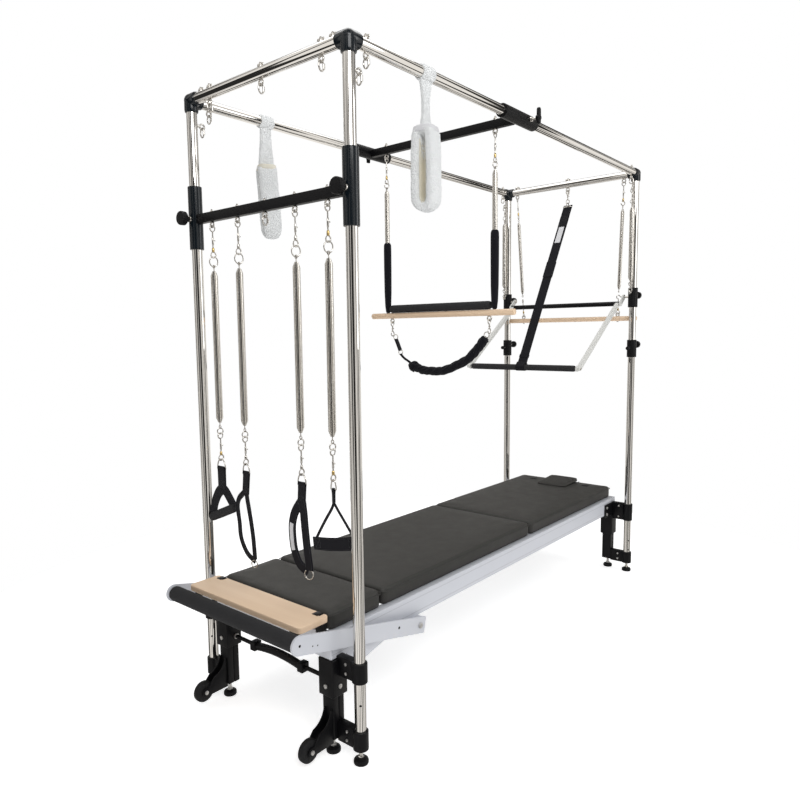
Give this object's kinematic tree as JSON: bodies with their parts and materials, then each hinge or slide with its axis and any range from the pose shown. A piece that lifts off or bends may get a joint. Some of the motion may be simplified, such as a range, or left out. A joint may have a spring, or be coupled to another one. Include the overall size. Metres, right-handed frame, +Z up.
{
  "type": "pilates trapeze table",
  "caption": "Padded pilates bed under a four-post tube canopy, with spring handles, sliding trapeze and sling, fleece loops, push bar, roll-down bar and footbar.",
  "frame": {"origin": "middle of the object's bounding box, on the floor", "axes": "+Z up; +X from the spring end to the push bar end along the bed; +Y to the left seen from the spring end"},
  "size_m": [2.416, 0.883, 2.14],
  "materials": {
    "chrome_tube": "bright chrome plate on round steel tube",
    "spring_steel": "bare spring steel, slightly warm, with chrome snap hooks",
    "black_powder": "fine black powder coat",
    "black_plastic": "moulded black nylon, lightly grained",
    "foam_grip": "matt closed-cell foam",
    "black_webbing": "black woven webbing and padded sleeve",
    "black_vinyl": "dark grey-black upholstery vinyl, fine grain, satin",
    "silver_frame": "light silver satin powder coat and anodised aluminium",
    "pale_wood": "pale lacquered beech",
    "white_fleece": "off-white fleece",
    "black_tyre": "black moulded wheel"
  },
  "bodies": {
    "root": {"post_near_left": "chrome_tube", "corner_cap_near_left": "black_plastic", "post_near_right": "chrome_tube", "corner_cap_near_right": "black_plastic", "post_far_left": "chrome_tube", "corner_cap_far_left": "black_plastic", "post_far_right": "chrome_tube", "corner_cap_far_right": "black_plastic", "canopy_rail_near": "chrome_tube", "canopy_rail_far": "chrome_tube", "canopy_rail_left": "chrome_tube", "canopy_rail_right": "chrome_tube", "upper_collar_left": "black_plastic", "thick_spring_left": "spring_steel", "upper_collar_right": "black_plastic", "thick_spring_right": "spring_steel", "safety_strap": "black_webbing", "bed_frame": "silver_frame", "standing_platform": "pale_wood", "mat_near": "black_vinyl", "mat_middle": "black_vinyl", "mat_far": "black_vinyl", "leg_near_left": "black_powder", "leg_near_right": "black_powder", "leg_far_left": "black_powder", "leg_far_right": "black_powder", "tie_tube": "black_powder"},
    "crossbar": {"spring_crossbar": "black_powder"},
    "crossbar_knob_left": {"crossbar_knob_left": "black_plastic"},
    "crossbar_knob_right": {"crossbar_knob_right": "black_plastic"},
    "hanger_1": {"long_spring_1": "spring_steel", "grip_handle_left": "black_webbing"},
    "hanger_2": {"long_spring_2": "spring_steel", "long_loop_left": "black_webbing"},
    "hanger_3": {"long_spring_3": "spring_steel", "foot_loop_right": "black_webbing"},
    "hanger_4": {"long_spring_4": "spring_steel", "wide_loop_right": "black_webbing"},
    "slider": {"canopy_slider": "black_powder"},
    "trapeze": {"trapeze_spring_left": "spring_steel", "trapeze_spring_right": "spring_steel", "trapeze_sleeve_left": "black_webbing", "trapeze_sleeve_right": "black_webbing", "trapeze_seat_roll": "foam_grip", "trapeze_bar": "pale_wood", "trapeze_sling": "black_webbing"},
    "fleece_left": {"fleece_loop_left": "white_fleece"},
    "fleece_right": {"fleece_loop_right": "white_fleece"},
    "push_bar": {"push_bar_frame": "silver_frame", "push_bar_grip": "foam_grip"},
    "roll_down": {"roll_down_bar": "pale_wood", "roll_down_spring_left": "spring_steel", "roll_down_spring_right": "spring_steel"},
    "footbar": {"footbar_frame": "silver_frame", "footbar_grip": "foam_grip"},
    "headrest": {"headrest": "black_vinyl"},
    "wheel_left": {"transport_wheel_left": "black_tyre"},
    "wheel_right": {"transport_wheel_right": "black_tyre"},
    "collar_left": {"lower_collar_left": "black_plastic"},
    "collar_right": {"lower_collar_right": "black_plastic"}
  },
  "joints": [
    {"name": "crossbar_height", "type": "slide", "parent": "root", "child": "crossbar", "axis": [0, 0, 1], "range_m": [-0.05, 0.19]},
    {"name": "crossbar_knob_left_turn", "type": "hinge", "parent": "crossbar", "child": "crossbar_knob_left", "pos_m": [-1.038, 0.3745, 1.7], "axis": [-1, 0, 0], "continuous": true},
    {"name": "crossbar_knob_right_turn", "type": "hinge", "parent": "crossbar", "child": "crossbar_knob_right", "pos_m": [-1.038, -0.3745, 1.7], "axis": [-1, 0, 0], "continuous": true},
    {"name": "hanger_1_swing", "type": "hinge", "parent": "crossbar", "child": "hanger_1", "pos_m": [-0.993, 0.28, 1.664], "axis": [0, -1, 0], "range_deg": [-3, 25]},
    {"name": "hanger_2_swing", "type": "hinge", "parent": "crossbar", "child": "hanger_2", "pos_m": [-0.993, 0.14, 1.664], "axis": [0, -1, 0], "range_deg": [-3, 25]},
    {"name": "hanger_3_swing", "type": "hinge", "parent": "crossbar", "child": "hanger_3", "pos_m": [-0.993, -0.14, 1.664], "axis": [0, -1, 0], "range_deg": [-3, 25]},
    {"name": "hanger_4_swing", "type": "hinge", "parent": "crossbar", "child": "hanger_4", "pos_m": [-0.993, -0.28, 1.664], "axis": [0, -1, 0], "range_deg": [-3, 25]},
    {"name": "slider_travel", "type": "slide", "parent": "root", "child": "slider", "axis": [1, 0, 0], "range_m": [-0.25, 0.25]},
    {"name": "trapeze_swing", "type": "hinge", "parent": "slider", "child": "trapeze", "pos_m": [-0.078, 0, 2.059], "axis": [0, -1, 0], "range_deg": [-12, 12]},
    {"name": "fleece_left_swing", "type": "hinge", "parent": "root", "child": "fleece_left", "pos_m": [-0.671, 0.3745, 2.1], "axis": [1, 0, 0], "range_deg": [-15, 15]},
    {"name": "fleece_right_swing", "type": "hinge", "parent": "root", "child": "fleece_right", "pos_m": [-0.648, -0.3745, 2.1], "axis": [1, 0, 0], "range_deg": [-15, 15]},
    {"name": "push_bar_lift", "type": "hinge", "parent": "root", "child": "push_bar", "pos_m": [1.128, 0, 1.475], "axis": [0, 1, 0], "range_deg": [0, 70], "deforming": ["safety_strap"]},
    {"name": "roll_down_swing", "type": "hinge", "parent": "root", "child": "roll_down", "pos_m": [1.128, 0, 2.062], "axis": [0, -1, 0], "range_deg": [0, 25]},
    {"name": "footbar_lift", "type": "hinge", "parent": "root", "child": "footbar", "pos_m": [-0.627, 0, 0.29], "axis": [0, 1, 0], "range_deg": [0, 15]},
    {"name": "headrest_tilt", "type": "hinge", "parent": "root", "child": "headrest", "pos_m": [0.957, 0, 0.45], "axis": [0, -1, 0], "range_deg": [0, 25]},
    {"name": "wheel_left_spin", "type": "hinge", "parent": "root", "child": "wheel_left", "pos_m": [-1.111, 0.269, 0.055], "axis": [0, 1, 0], "continuous": true},
    {"name": "wheel_right_spin", "type": "hinge", "parent": "root", "child": "wheel_right", "pos_m": [-1.111, -0.269, 0.055], "axis": [0, 1, 0], "continuous": true},
    {"name": "collar_left_height", "type": "slide", "parent": "root", "child": "collar_left", "axis": [0, 0, 1], "range_m": [-0.3, 0.08]},
    {"name": "collar_right_height", "type": "slide", "parent": "root", "child": "collar_right", "axis": [0, 0, 1], "range_m": [-0.3, 0.08]}
  ]
}
